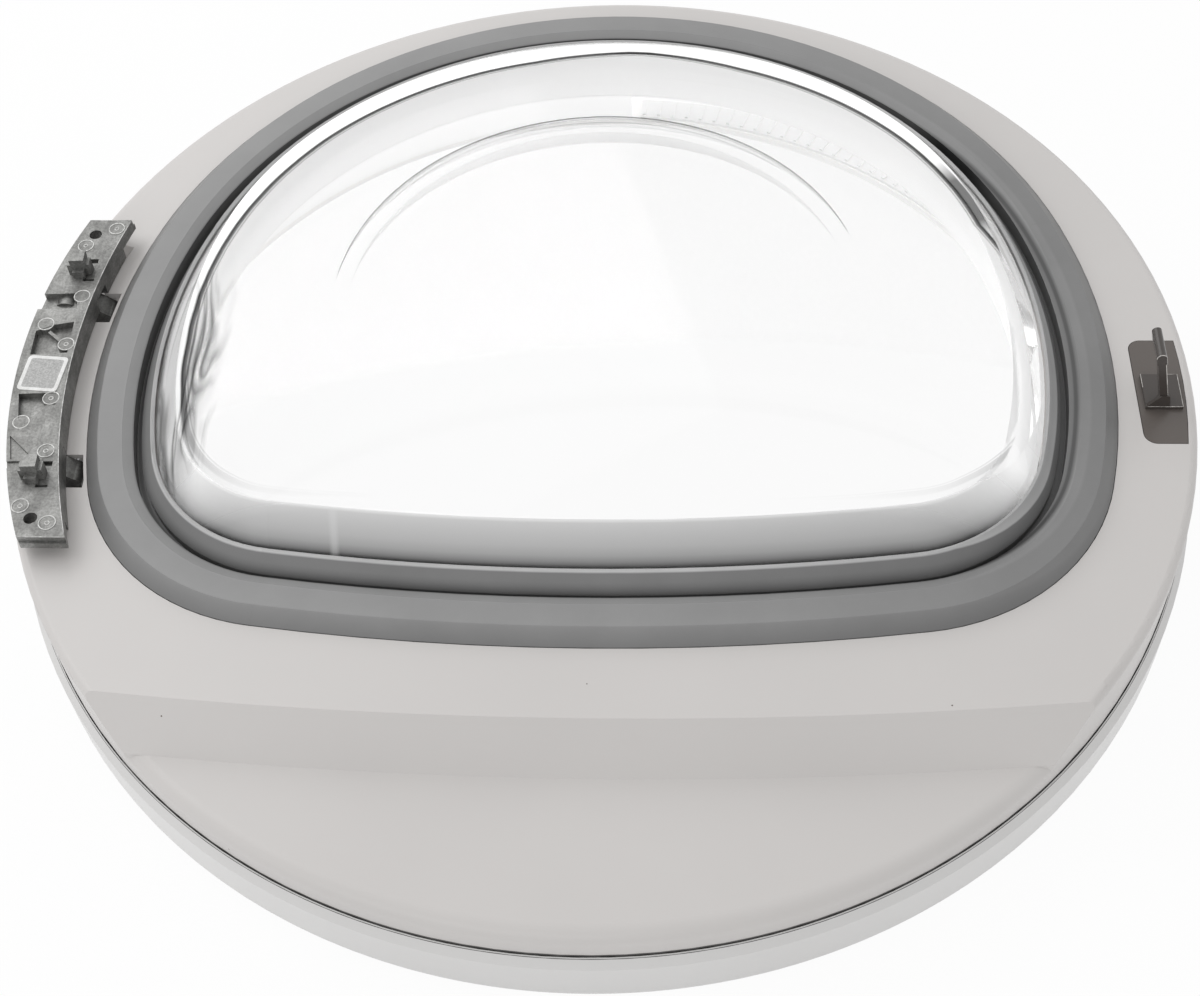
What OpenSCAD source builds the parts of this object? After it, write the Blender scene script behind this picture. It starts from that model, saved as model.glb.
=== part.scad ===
// Round dryer door with a D-shaped clear window, lying on its front face.
// Millimetres. Origin: centre of the round door at its front face. +Z is the side
// that faces the machine, +X the latch, -X the hinge, +Y the top of the door.

/* [Outer ring] */
// Outer radius of the front ring
ring_r = 248.5; // [240:0.5:262]
// Height of the ring from the front face to the parting line
ring_h = 28; // [26:0.5:34]
// Wall thickness of the ring
ring_wall = 3; // [2:0.1:3.5]
// Radius of the rounded front edge
ring_round = 4; // [2:0.5:6]
// Radial width of the flat front rim that the door rests on
rim_w = 8.5; // [6:0.5:14]
// Distance of the round opening's edge inside the ring's outer edge
mouth_in = 48.5; // [44:0.5:54]
// Height of the shelf round the mouth above the front face
shelf_z = 23; // [20:0.5:25]
// Radial width of the shelf round the mouth
shelf_w = 18; // [17:0.5:22]
// Slope of the lip at the parting line, measured along Z
lip_h = 4; // [2:0.5:6]
// Radial step of the lip at the parting line
lip_step = 2.9; // [2:0.1:3.5]

/* [Finger grip] */
// Half of the angle that the finger pocket spans about the latch direction
grip_half = 88; // [40:1:100]
// Radial depth of the finger pocket
grip_depth = 14; // [10:0.5:14.5]
// Thickness of the ribbed strip
grip_t = 1.4; // [1:0.1:3]
// Height of the ribs on the strip
grip_rib_h = 1; // [0.5:0.1:2]
// Width of one rib
grip_rib_w = 1.6; // [0.8:0.1:2.5]
// Angle between two ribs
grip_pitch = 2; // [1.5:0.5:4]

/* [Inner frame] */
// Gap between the ring and the skirt of the inner frame
parting_gap = 0.4; // [0.3:0.1:1.2]
// Height of the upper panel above the parting line
frame_rise = 32; // [30:0.5:38]
// Height of the lower panel above the parting line
low_rise = 14; // [13:0.5:16]
// Wall thickness of the inner frame
frame_wall = 2.5; // [2:0.1:3]
// Radius of the shoulder round the upper panel
shoulder_r = 3.5; // [3.2:0.1:6]
// Radius of the shoulder round the lower panel
low_shoulder_r = 6; // [4:0.5:8]
// Depth of the frame skirt inside the ring, below the parting line
skirt_depth = 6; // [4:0.5:7]
// Number of snap tabs that hold the skirt
tab_count = 12; // [6:1:18]

/* [Window outline] */
// Distance of the outline's top arc, the seal's outer edge, inside the ring's outer edge
top_in = 37.5; // [34:0.5:41]
// Height of the top arc's centre above the door's centre
top_y = 21; // [17:0.5:23]
// Angle above the horizontal where the top arc meets the side arc
side_a = 18; // [14:1:24]
// Radius of the side arcs
side_r = 263; // [240:1:300]
// Radius of the lower corners
corner_r = 92; // [84:1:100]
// Distance of the outline's flat lower side below the door's centre
low_y = 137; // [133:0.5:140]
// Radius of the gentle arc along the lower side
low_r = 947; // [800:1:1200]
// Fall of the crease below the outline's lower side
crease_drop = 30; // [24:0.5:36]
// Radius of the crease, which is flatter than the outline's lower side
crease_r = 1800; // [1400:10:2400]
// Width of the sloping step between the two panels
step_w = 15; // [12:0.5:20]

/* [Door seal] */
// Height of the seal above the upper panel
seal_h = 6; // [4:0.5:9]
// Width of the seal's outer bevel
seal_bevel = 6; // [4:0.5:8]
// Width of the seal's flat top band
seal_flat = 10; // [7:0.5:12]
// Width of the seal's inner slope
seal_slope = 4.3; // [3:0.1:6]
// Depth of the tray in the frame that holds the seal
tray_depth = 6; // [5:0.5:7]
// Gap between the seal's body and the root of its inner lip
lip_gap = 2.8; // [2:0.1:3.5]
// Horizontal reach of the leaning inner lip
lip_reach = 5.8; // [4:0.1:6.5]
// Height of the lip's tip above the upper panel
lip_tip_h = 10; // [8:0.5:11]
// Thickness of the inner lip
lip_t = 1.6; // [1.2:0.1:2]

/* [Window bowl] */
// Thickness of the clear bowl
bowl_t = 5; // [4:0.5:6]
// Height of the bowl's flat top above the upper panel
bowl_rise = 24; // [20:0.5:32]
// Height of the bowl's upright wall above the upper panel
bowl_wall_h = 8; // [6:0.5:12]
// Width of the bowl's bevelled edge
bowl_bevel = 11.5; // [8:0.5:14]
// Gap between the bowl and the frame's skirt round it
bowl_gap = 1.5; // [0.8:0.1:2.5]
// Width of the flange at the bowl's foot
flange_w = 6.5; // [4:0.5:7]
// Thickness of the flange at the bowl's foot
flange_t = 4; // [3:0.5:5]
// Thickness of the flat gasket on the flange
gasket_t = 1.5; // [1:0.1:2]
// Radius of the round plateau on the bowl
plateau_r = 111.5; // [95:0.5:120]
// Height above the door's centre where the sloping face starts
face_y = 42; // [30:1:50]
// Slope of the face above that line, in degrees
face_slope = 4.2; // [2:0.1:5]
// Turn of the line where the sloping face starts, in degrees
face_turn = 7; // [0:0.5:10]

/* [Surround] */
// Thickness of the surround's plate and walls
surround_t = 2.6; // [2:0.1:3]
// Distance of the surround's plate inside the ring's outer edge
surround_in = 28.5; // [28:0.1:30]
// Distance of the surround's screws inside the seal outline
surround_screw_o = 17; // [16:0.5:18]
// Fall of the surround's lower part under the lower panel
surround_drop = 5; // [4:0.5:6]

/* [Hinge] */
// Distance of the hinge axis inside the ring's outer edge
axis_in = 17.5; // [15.5:0.5:19.5]
// Height of the hinge axis above the upper panel
axis_rise = 5.4; // [5:0.1:6]
// Distance of the hinge plate's inner edge inside the ring's outer edge
plate_in = 28; // [26.5:0.1:29]
// Radius of the hinge plate's inner edge, which is flatter than the door
plate_in_r = 296; // [270:1:330]
// Radial width of the hinge plate
plate_w = 22; // [21:0.5:23]
// Length of the hinge plate along the door
plate_l = 174.6; // [172:0.2:178]
// Height of the hinge plate's mounting face above the upper panel
plate_rise = 12; // [11.6:0.1:14]
// Thickness of the hinge plate's slab
slab_t = 6; // [5.5:0.1:6]
// Gap between the hinge plate and the upper panel
plate_gap = 0.6; // [0.4:0.1:1]
// Depth of the pockets in the mounting face
pocket_depth = 3; // [2:0.1:3.5]
// Wall thickness of the hinge casting
plate_wall = 3.4; // [2.5:0.1:3.6]
// Distance between the two mounting holes
hole_pitch = 156.6; // [150:0.1:160]
// Distance of the mounting holes from the plate's inner edge
hole_out = 15.2; // [13.5:0.1:16.5]
// Radius of the mounting holes
hole_r = 2.75; // [2:0.05:3]
// Distance between the two hinge arms
arm_pitch = 90.6; // [89:0.1:93]
// Height of the hinge's middle above the door's centre
hinge_y = -8.5; // [-12:0.5:-4]
// Distance of the arms' middle above the hinge's middle
arm_shift = 3; // [2.5:0.1:3.5]
// Width of a hinge arm
arm_w = 10; // [9:0.5:10.5]
// Distance between the two hooks on the hinge plate
hook_pitch = 113; // [110:0.5:116]
// Radius of a hinge arm's eye
eye_r = 4.8; // [4.4:0.1:4.8]
// Radius of a hinge pin
pin_r = 2.2; // [1.8:0.1:2.4]
// Wall of a hinge bush
bush_wall = 0.9; // [0.7:0.1:1]
// Running clearance between a pin and its bush
pin_fit = 0.04; // [0.02:0.01:0.09]
// Depth of the recess in the frame under the hinge plate
recess_depth = 11; // [11:0.1:11.5]
// Width of a notch in the frame for a hinge arm
notch_w = 17; // [16:0.5:18]
// Distance of a notch's middle below the middle of its arm
notch_low = 3; // [2:0.1:3.2]
// Thickness of the hinge bracket inside the door
bracket_t = 3; // [2:0.1:3.5]

/* [Latch] */
// Distance of the latch plate's inner side inside the ring's outer edge
latch_in = 27.5; // [25.5:0.5:28.5]
// Width of the latch plate
latch_w = 19.5; // [17:0.5:19.5]
// Length of the latch plate
latch_l = 55; // [48:0.5:60]
// Height of the latch plate's middle above the door's centre
latch_y = -9.5; // [-12:0.5:-6]
// Thickness of the latch plate
latch_t = 2; // [1.5:0.1:2.5]
// Radius of the latch plate's corners
latch_corner = 5; // [3:0.5:6]
// Height of the hook above the latch plate
hook_h = 34; // [26:0.5:36]
// Length of the hook's head along the door
hook_l = 15; // [13:0.5:18]
// Height of the hook's head
hook_head_h = 5.8; // [5:0.1:8]
// Depth of the hook's stem along the door
stem_l = 6; // [4:0.5:8]
// Thickness of the hook's head
hook_t = 3.9; // [3:0.1:5]
// Lean of the hook towards the window, in degrees
hook_lean = 13; // [0:1:15]
// Width of the hook's foot
hook_foot_w = 15; // [12:0.5:16]
// Length of the hook's foot along the door
hook_foot_l = 17.5; // [16:0.5:19]
// Thickness of the hook's foot
hook_foot_t = 1.6; // [1.2:0.1:2.5]

/* [Fasteners] */
// Radius of a small screw's shank
screw_r = 1.6; // [1.4:0.1:1.8]
// Radius of a large screw's shank
bolt_r = 1.95; // [1.7:0.05:2.1]
// Clearance of a screw in the hole that it passes through
screw_gap = 0.25; // [0.15:0.05:0.4]
// Clearance of a screw in the hole that it grips
thread_gap = 0.05; // [0.03:0.01:0.08]
// Clearance of a pressed pin in its hole
press_gap = 0.02; // [0.01:0.01:0.04]

/* [Hidden] */

$fn = 96;
// Facets of small round details
small_fn = 24;
// Facets of the crease's wide arc
crease_fn = 720;
// Length by which two arcs of the window outline run into each other
seam = 1;
// Scale of the slimmer lengths of a sweep, and the same step on the walls of a plate
slim = 0.997;
slim_step = 0.05;
// Small overlap that lets one solid grow into another of the same piece
eps = 0.5;
// Room that a cutting tool has past the face that it cuts
past = 4;

// Colours as the photograph shows them
frame_grey = [0.8, 0.79, 0.78];
ring_grey = [0.84, 0.83, 0.82];
seal_grey = [0.53, 0.53, 0.53];
zinc = [0.6, 0.6, 0.59];
taupe = [0.36, 0.34, 0.32];
steel = [0.66, 0.67, 0.68];

// Levels, from the front face upwards
frame_z = ring_h + frame_rise;
low_z = ring_h + low_rise;
tray_z = frame_z - tray_depth;
tray_under = tray_z - frame_wall;
skirt_z = ring_h - skirt_depth;
low_under = low_z - frame_wall;
// Clearance that the surround's lower plate keeps from the frame
surround_clear = 2;
// Set of the surround's upper plate below the level that its lower plate's fall gives
surround_set = 1.5;
low_plate_top = low_under - surround_clear;
plate_top = low_plate_top + surround_drop - surround_set;
surround_ceiling = plate_top - surround_t;
flange_top = plate_top + flange_t;
neck_z = flange_top + gasket_t;
bowl_z = frame_z + bowl_rise;
wall_top_z = frame_z + bowl_wall_h;

// Radii of the ring, its opening, the surround and the frame
front_r = ring_r - ring_round;
mouth_r = ring_r - mouth_in;
pocket_r = mouth_r + grip_depth;
surround_r = ring_r - surround_in;
lip_land = 0.3;
lip_r = ring_r - lip_step;
lip_bore_r = lip_r - lip_land;
frame_r = lip_bore_r - parting_gap;
ledge_r = frame_r - ring_wall;
shelf_r = mouth_r + shelf_w;
rim_r = front_r - rim_w;

// Offsets inwards from the seal outline
seal_clear = 0.3;
seal_top_o = seal_bevel + seal_flat;
seal_in_o = seal_top_o + seal_slope;
lip_o = seal_in_o + lip_gap;
tip_o = lip_o + lip_reach;
seal_foot_w = 2.2;
seal_web_t = 3;
seal_edge_h = 0.2;
bowl_o = tip_o + lip_t;
bowl_top_o = bowl_o + bowl_bevel;
neck_o = bowl_o - bowl_gap;
flange_o = bowl_o - flange_w;
mouth_o = bowl_o + 2.5;

// Outline of the window: centres and angles of its arcs on the right half
top_r = ring_r - top_in;
top_c = [0, top_y];
side_c = top_c + (top_r - side_r) * [cos(side_a), sin(side_a)];
low_c = [0, low_r - low_y];
link = low_c - side_c;
link_l = norm(link);
link_u = link / link_l;
corner_d = side_r - corner_r;
low_d = low_r - corner_r;
along = (link_l * link_l + corner_d * corner_d - low_d * low_d) / (2 * link_l);
across = sqrt(corner_d * corner_d - along * along);
corner_c = side_c + along * link_u + across * [link_u.y, -link_u.x];
corner_a = atan2(corner_c.y - side_c.y, corner_c.x - side_c.x);
low_a = atan2(corner_c.y - low_c.y, corner_c.x - low_c.x);
// Middle of the crease's arc
crease_c = [0, crease_r - low_y - crease_drop];

// Hinge levels and places
axis_x = ring_r - axis_in;
plate_r = ring_r - plate_in;
hole_ring_r = plate_r + hole_out;
axis_z = frame_z + axis_rise;
plate_z0 = frame_z + plate_gap;
plate_z1 = frame_z + plate_rise;
slab_z = plate_z1 - slab_t;
pocket_z = plate_z1 - pocket_depth;
step_depth = 0.8;
// Ledge round the plate's ends, and the ends that its inner wall stops short of
ledge_w = 1;
pad_r = 3.6;
wall_end = 12;
// Distances from the plate's inner edge to the pockets and to the hooks' middles
wall_in = 2.4;
hook_in = 4.4;
recess_z = frame_z - recess_depth;
recess_under = recess_z - frame_wall;
recess_r = plate_r + 3.5;
// Height of the bracket's bosses below the recess
boss_drop = 3.5;
boss_z = recess_under - boss_drop;
bracket_z = boss_z - bracket_t;
bracket_r0 = surround_r + 2;
bracket_r1 = ledge_r - 2;
bracket_mid_r = (bracket_r0 + bracket_r1) / 2;
hole_half_a = asin(hole_pitch / 2 / hole_ring_r);
plate_mid_a = 180 - asin(hinge_y / (hole_ring_r * cos(hole_half_a)));
// Half of an angle that is wider than the plate
wide_a = 30;
// Half of the angle over which the plate's outer edge swings down past the axis
swing_a = acos(axis_x / (plate_r + plate_w)) + 1.5;
bracket_half = 21.6;
bracket_angles = [plate_mid_a - 18.5, plate_mid_a, plate_mid_a + 18.5];
arm_y = [for (s = [1, -1]) hinge_y + arm_shift + s * arm_pitch / 2];
notch_y = [for (y = arm_y) y - notch_low];
side_play = 0.3;
bush_r = pin_r + pin_fit + bush_wall;
slot_w = arm_w + 2 * side_play;
knuckle_w = 5;
knuckle_r = eye_r + 0.4;
pin_l = slot_w + 2 * knuckle_w - 1;
knee_drop = 6.5;
arm_t = 7;
knee_r = arm_t / 2 + 0.2;
// Wall that the notches leave round the seal's tray, and an arm's gap to it
notch_wall = 1.2;
knee_gap = 1.5;
knee_x = [for (y = arm_y) side_edge(y) + notch_wall + knee_gap + arm_t / 2];
foot_outer_x = [axis_x + 4, axis_x + 1];
foot_t = 3;
// Distances of a foot's two screws from the foot's outer end
foot_screws = [3.4, 11.4];
arm_screw_points = [for (i = [0, 1], d = foot_screws) [d - foot_outer_x[i], arm_y[i]]];
// Distance of the seal's outline from the door's centre plane at the height y
function side_edge(y) = side_c.x + sqrt(side_r * side_r - (y - side_c.y) * (y - side_c.y));

// Latch levels and places
latch_x = ring_r - latch_in;
latch_z = frame_z - latch_t;
latch_pad_z = latch_z - boss_drop;
stiffener_t = 2;
hook_x = latch_x + 9.8;
hook_foot_y = latch_y - 9.8;
stem_t = hook_t - 0.8;
root_h = 6.5;
hook_pegs = [hook_foot_y + 4, hook_foot_y + hook_foot_l - 4];
peg_r = 3;

// Screw sizes
head_r = 3.6;
head_h = 2;
bolt_head_r = 3.8;
bolt_head_h = 2.5;
boss_r = 3.9;

// Angle that the ribbed strip stops short of the pocket's ends
grip_end = 1.5;

// Tabs that fill the snap windows in the skirt, with a gap all round
tab_w = 14;
tab_h = 2.4;
tab_gap = 0.3;
tab_depth = 1.6;
tab_z = skirt_z + 2;

// Ribs under the lower panel
rib_t = 2;
rib_h = 2;
rib_step = 36;
rib_reach = mouth_r + 14;

// Label on the hinge plate
label_w = 17.3;
label_l = 19;
label_t = 0.3;
// Room between two pieces that lie beside each other
clear = 0.3;

// A ring sector about the door's centre, from radius r0 to r1 and height z0 to z1
module sector(r0, r1, z0, z1, a0, a1) {
    rotate([0, 0, a0])
        rotate_extrude(angle = a1 - a0)
            translate([r0, z0])
                square([r1 - r0, z1 - z0]);
}

// Sweep a profile round the window outline; x runs outwards from the seal's edge.
// The side and low lengths are a hair slimmer about the point mid, so that they
// slide into the ends of the others like the parts of a telescope.
module d_sweep(mid) {
    d_arc(top_c, top_r, side_a, 180 - side_a) children();
    d_arc(low_c, low_r, -180 - low_a, low_a) slimmer(mid) children();
    for (side = [0, 1])
        mirror([side, 0, 0]) {
            d_arc(side_c, side_r, corner_a, side_a) slimmer(mid) children();
            d_arc(corner_c, corner_r, low_a, corner_a) children();
        }
}

module slimmer(mid) {
    translate(mid * (1 - slim))
        scale(slim)
            children();
}

module d_arc(c, r, a0, a1) {
    translate([c.x, c.y, 0])
        rotate([0, 0, a0 - atan(seam / r)])
            rotate_extrude(angle = a1 - a0 + 2 * atan(seam / r))
                translate([r, 0])
                    children();
}

// A point on an arc of the outline, at an offset o inwards
function arc_point(c, r, a, o) = c + (r - o) * [cos(a), sin(a)];

// A plate that fills the window outline moved inwards by o, from z0 to z1
module d_plate(o, z0, z1) {
    h = z1 - z0;
    band = 30;
    inset = o + band / 2;
    corners = [arc_point(top_c, top_r, 90, inset), arc_point(top_c, top_r, 54, inset),
        arc_point(top_c, top_r, side_a, inset), arc_point(side_c, side_r, corner_a, inset),
        arc_point(corner_c, corner_r, -45, inset), arc_point(low_c, low_r, low_a, inset)];
    translate([0, 0, z0])
        linear_extrude(h)
            polygon([for (p = corners) p, for (i = [5:-1:1]) [-corners[i].x, corners[i].y]]);
    d_arc(top_c, top_r, side_a, 180 - side_a) d_band(o, band, z0, h, 0);
    d_arc(low_c, low_r, -180 - low_a, low_a) d_band(o, band, z0, h, slim_step);
    for (side = [0, 1])
        mirror([side, 0, 0]) {
            d_arc(side_c, side_r, corner_a, side_a) d_band(o, band, z0, h, slim_step);
            d_arc(corner_c, corner_r, low_a, corner_a) d_band(o, band, z0, h, 0);
        }
}

module d_band(o, band, z0, h, step) {
    flat_step = slim_step + step;
    translate([-o - band, z0 + flat_step])
        square([band - step, h - 2 * flat_step]);
}

// Places of the surround's screws, as points of the door's plane
function screw_points() = [
    for (a = [30, 60, 90, 120, 150]) arc_point(top_c, top_r, a, surround_screw_o),
    for (s = [-1, 1], a = [corner_a * 0.4]) mirror_x(arc_point(side_c, side_r, a, surround_screw_o), s),
    for (s = [-1, 1]) mirror_x(arc_point(corner_c, corner_r, -45, surround_screw_o), s),
    for (a = [-94.5, -90, -85.5]) arc_point(low_c, low_r, a, surround_screw_o)];
function mirror_x(p, s) = [s * p.x, p.y];

module outer_ring() {
    color(ring_grey) {
        rotate_extrude() ring_profile();
        for (i = [0:tab_count - 1])
            rotate([0, 0, (i + 0.5) * 360 / tab_count])
                snap_tab();
    }
}

module ring_profile() {
    slant = ring_wall * (shelf_r - rim_r) / shelf_z;
    difference() {
        polygon([[mouth_r, shelf_z - ring_wall], [shelf_r, shelf_z - ring_wall], [rim_r, 0],
            [ring_r, 0], [ring_r, ring_h - lip_h], [lip_r, ring_h], [lip_bore_r, ring_h],
            [lip_bore_r, skirt_z], [ledge_r, skirt_z], [ledge_r, ring_wall],
            [rim_r - slant, ring_wall], [shelf_r - slant, shelf_z], [mouth_r, shelf_z]]);
        difference() {
            translate([front_r, -past])
                square([ring_round + past, ring_round + past]);
            translate([front_r, ring_round])
                circle(ring_round, $fn = small_fn);
        }
    }
}

module snap_tab() {
    translate([lip_bore_r - tab_depth, -tab_w / 2, tab_z])
        cube([tab_depth + eps, tab_w, tab_h]);
}

module handle_grip() {
    r0 = mouth_r + 1;
    r1 = pocket_r - clear;
    half = grip_half - grip_end;
    ribs = floor(half / grip_pitch);
    color(ring_grey) {
        sector(r0, r1, shelf_z, shelf_z + grip_t, -half, half);
        for (i = [-ribs:ribs])
            rotate([0, 0, i * grip_pitch])
                translate([r0 + 1, -grip_rib_w / 2, shelf_z + grip_t - 0.2])
                    cube([r1 - r0 - 2, grip_rib_w, grip_rib_h + 0.2]);
    }
}

// Lower edge of the surround's high part
surround_chord = low_y + 14;

module window_surround() {
    color(ring_grey)
        difference() {
            union() {
                surround_solid();
                for (p = screw_points())
                    translate([p.x, p.y, plate_top - eps])
                        cylinder(h = tray_under - plate_top + eps, r = boss_r);
            }
            d_plate(mouth_o, shelf_z, plate_top + past);
            for (p = screw_points())
                translate([p.x, p.y, plate_top + 1])
                    cylinder(h = tray_under - plate_top, r = screw_r + thread_gap);
        }
}

// The stepped plate and the walls that stand on the ring's shelf
module surround_solid() {
    difference() {
        union() {
            intersection() {
                cylinder(h = plate_top, r = surround_r);
                surround_upper(plate_top, 0);
            }
            cylinder(h = low_plate_top, r = surround_r);
        }
        translate([0, 0, -past])
            cylinder(h = shelf_z + past, r = surround_r + past);
        intersection() {
            difference() {
                translate([0, 0, shelf_z - past])
                    cylinder(h = surround_ceiling - shelf_z + past, r = surround_r + past);
                surround_walls();
            }
            union() {
                surround_upper(surround_ceiling, surround_t);
                cylinder(h = low_plate_top - surround_t, r = surround_r + past);
            }
        }
    }
}

// Walls round the mouth, set back behind the finger pocket
module surround_walls() {
    sector(mouth_r, mouth_r + surround_t, 0, plate_top, grip_half, 360 - grip_half);
    sector(pocket_r, pocket_r + surround_t, 0, plate_top, -grip_half, grip_half);
    for (a = [-grip_half, grip_half])
        rotate([0, 0, a])
            translate([mouth_r, -surround_t / 2, 0])
                cube([grip_depth + surround_t, surround_t, plate_top]);
}

// Space above the chord that divides the surround's two levels
module surround_upper(top, inset) {
    translate([-surround_r - past, inset - surround_chord, -past])
        cube([2 * (surround_r + past), 2 * surround_r + past, top + past]);
}

module surround_screws() {
    color(steel)
        for (p = screw_points())
            translate([p.x, p.y, tray_z]) {
                translate([0, 0, -head_h])
                    cylinder(h = head_h, r1 = screw_r, r2 = head_r);
                translate([0, 0, plate_top + 2 - tray_z])
                    cylinder(h = tray_z - plate_top - 2 - head_h / 2, r = screw_r);
            }
}

module bowl_gasket() {
    color(seal_grey)
        d_sweep([-neck_o, flange_top + gasket_t / 2])
            translate([-neck_o - eps, flange_top])
                square([neck_o - flange_o - eps, gasket_t]);
}

module window_bowl() {
    color([0.86, 0.9, 0.92, 0.4]) {
        difference() {
            union() {
                bowl_form(0);
                d_sweep([-bowl_o + 1, plate_top + flange_t / 2])
                    translate([-bowl_o - 1, plate_top])
                        square([flange_w + 1, flange_t]);
            }
            bowl_form(bowl_t);
        }
    }
}

// The bowl's outer form, or its inner form when every face moves in by t
module bowl_form(t) {
    slant = norm([bowl_bevel, bowl_rise - bowl_wall_h]);
    shift = t * slant / (bowl_rise - bowl_wall_h);
    lean = bowl_bevel / (bowl_rise - bowl_wall_h);
    core_o = bowl_top_o + bowl_t + 6;
    o0 = bowl_o + t;
    z_low = plate_top - (t > 0 ? past : 0);
    z_bend = wall_top_z + (t - shift) / lean;
    z_top = bowl_z + past;
    intersection() {
        union() {
            d_sweep([-core_o, frame_z])
                polygon([[-o0, z_low], [-o0, z_bend],
                    [-bowl_o - shift - (z_top - wall_top_z) * lean, z_top],
                    [-core_o - 8, z_top], [-core_o - 8, z_low]]);
            d_plate(core_o, z_low, z_top);
        }
        bowl_envelope(t, z_low);
    }
}

// Flat top, sloping face and round plateau, each moved in by t
module bowl_envelope(t, z_low) {
    span = 2 * top_r;
    intersection() {
        translate([-span / 2, -span / 2, z_low - 1])
            cube([span, span * 1.2, bowl_z - t - z_low + 1]);
        translate([0, face_y, bowl_z])
            rotate([0, 0, face_turn])
                rotate([-face_slope, 0, 0])
                    translate([-span, -span, -3 * bowl_z])
                        cube([2 * span, 2 * span, 3 * bowl_z - t]);
    }
    translate([0, top_y, z_low - 1])
        cylinder(h = bowl_z - t - z_low + 1, r = plateau_r - t);
}

module inner_frame() {
    color(frame_grey)
        difference() {
            union() {
                difference() {
                    frame_form(0);
                    difference() {
                        union() {
                            frame_form(frame_wall);
                            cylinder(h = low_z - low_shoulder_r, r = frame_r - frame_wall);
                        }
                        frame_inner_solids();
                    }
                }
                frame_ribs();
            }
            d_plate(0, tray_z, frame_z + past);
            d_plate(neck_o, neck_z - past, frame_z + past);
            frame_hinge_cuts();
            frame_latch_cuts();
            for (p = screw_points())
                translate([p.x, p.y, tray_z]) {
                    translate([0, 0, -head_h])
                        cylinder(h = head_h, r1 = screw_r, r2 = head_r);
                    translate([0, 0, -past])
                        cylinder(h = 2 * past, r = screw_r + screw_gap);
                }
            for (i = [0:tab_count - 1])
                rotate([0, 0, (i + 0.5) * 360 / tab_count])
                    translate([frame_r - ring_wall - past, -tab_w / 2 - tab_gap, tab_z - tab_gap])
                        cube([ring_wall + 2 * past, tab_w + 2 * tab_gap, tab_h + 2 * tab_gap]);
        }
}

// The frame's outer form, or its inner form when every face moves in by t
module frame_form(t) {
    step_slant = norm([step_w, frame_rise - low_rise]);
    step_in = t * step_slant / (frame_rise - low_rise);
    round_disc(frame_r - t, skirt_z, low_z - t, low_shoulder_r - t);
    intersection() {
        round_disc(frame_r - t, skirt_z, frame_z - t, shoulder_r - t);
        translate([crease_c.x, crease_c.y, low_z - t]) {
            cylinder(h = frame_rise - low_rise, r1 = crease_r + step_w - step_in,
                r2 = crease_r - step_in, $fn = crease_fn);
            translate([0, 0, skirt_z - low_z])
                cylinder(h = low_z - skirt_z, r = crease_r + step_w - step_in, $fn = crease_fn);
        }
    }
}

// A disc with a rounded upper edge
module round_disc(r, z0, z1, round_r) {
    rotate_extrude() {
        translate([0, z0])
            square([r - round_r, z1 - z0]);
        translate([0, z0])
            square([r, z1 - z0 - round_r]);
        translate([r - round_r, z1 - round_r])
            circle(round_r, $fn = small_fn);
    }
}

// Solid parts that reach down into the frame's hollow
module frame_inner_solids() {
    d_plate(-frame_wall, tray_under, frame_z);
    d_plate(neck_o - frame_wall, neck_z, frame_z);
    sector(recess_r - frame_wall, frame_r, recess_under, frame_z, 180 - swing_a - 0.7,
        180 + swing_a + 0.7);
    for (a = bracket_angles)
        rotate([0, 0, a])
            translate([bracket_mid_r, 0, boss_z])
                cylinder(h = frame_z - boss_z, r = boss_r);
    translate([latch_x - frame_wall, latch_y - latch_l / 2 - frame_wall, latch_pad_z])
        cube([latch_w + 2 * frame_wall, latch_l + 2 * frame_wall, frame_z - latch_pad_z]);
}

// Stiffening ribs under the lower panel
module frame_ribs() {
    for (i = [-2:2])
        translate([i * rib_step - rib_t / 2, -rib_reach, low_under - rib_h])
            cube([rib_t, rib_reach - low_y - 2 * step_w, rib_h + eps]);
}

// Recess under the hinge plate, notches for the arms and holes for the bracket
module frame_hinge_cuts() {
    sector(recess_r, ring_r, recess_z, frame_z + past, 180 - swing_a, 180 + swing_a);
    difference() {
        for (y = notch_y)
            translate([-axis_x, y - notch_w / 2, boss_z])
                cube([axis_x - side_edge(y), notch_w, frame_z - boss_z + past]);
        d_plate(-notch_wall, boss_z - past, frame_z + 2 * past);
    }
    for (a = bracket_angles)
        rotate([0, 0, a])
            translate([bracket_mid_r, 0, boss_z - past])
                cylinder(h = past + 5, r = bolt_r + thread_gap);
}

// Recess for the latch plate and holes for the hook's two pegs
module frame_latch_cuts() {
    latch_outline(clear, latch_z, frame_z + past);
    for (y = hook_pegs)
        translate([hook_x, y, latch_pad_z - past])
            cylinder(h = 2 * past + latch_t, r = peg_r + screw_gap);
}

module door_seal() {
    z0 = tray_z + 3 * slim_step;
    top = frame_z + seal_h;
    web_z = z0 + seal_web_t;
    tip_z = frame_z + lip_tip_h;
    bend_z = frame_z + 1.3;
    color(seal_grey)
        d_sweep([-seal_top_o, frame_z])
            polygon([[-seal_clear, z0], [-seal_clear, frame_z + seal_edge_h], [-seal_bevel, top],
                [-seal_top_o, top], [-seal_in_o, top - 2], [-seal_in_o, web_z], [-lip_o, web_z],
                [-lip_o, bend_z], [-tip_o, tip_z], [-tip_o - lip_t * 0.75, tip_z - lip_t / 2],
                [-lip_o - lip_t * 1.2, bend_z - 0.7], [-lip_o - seal_foot_w, z0]]);
}

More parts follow.
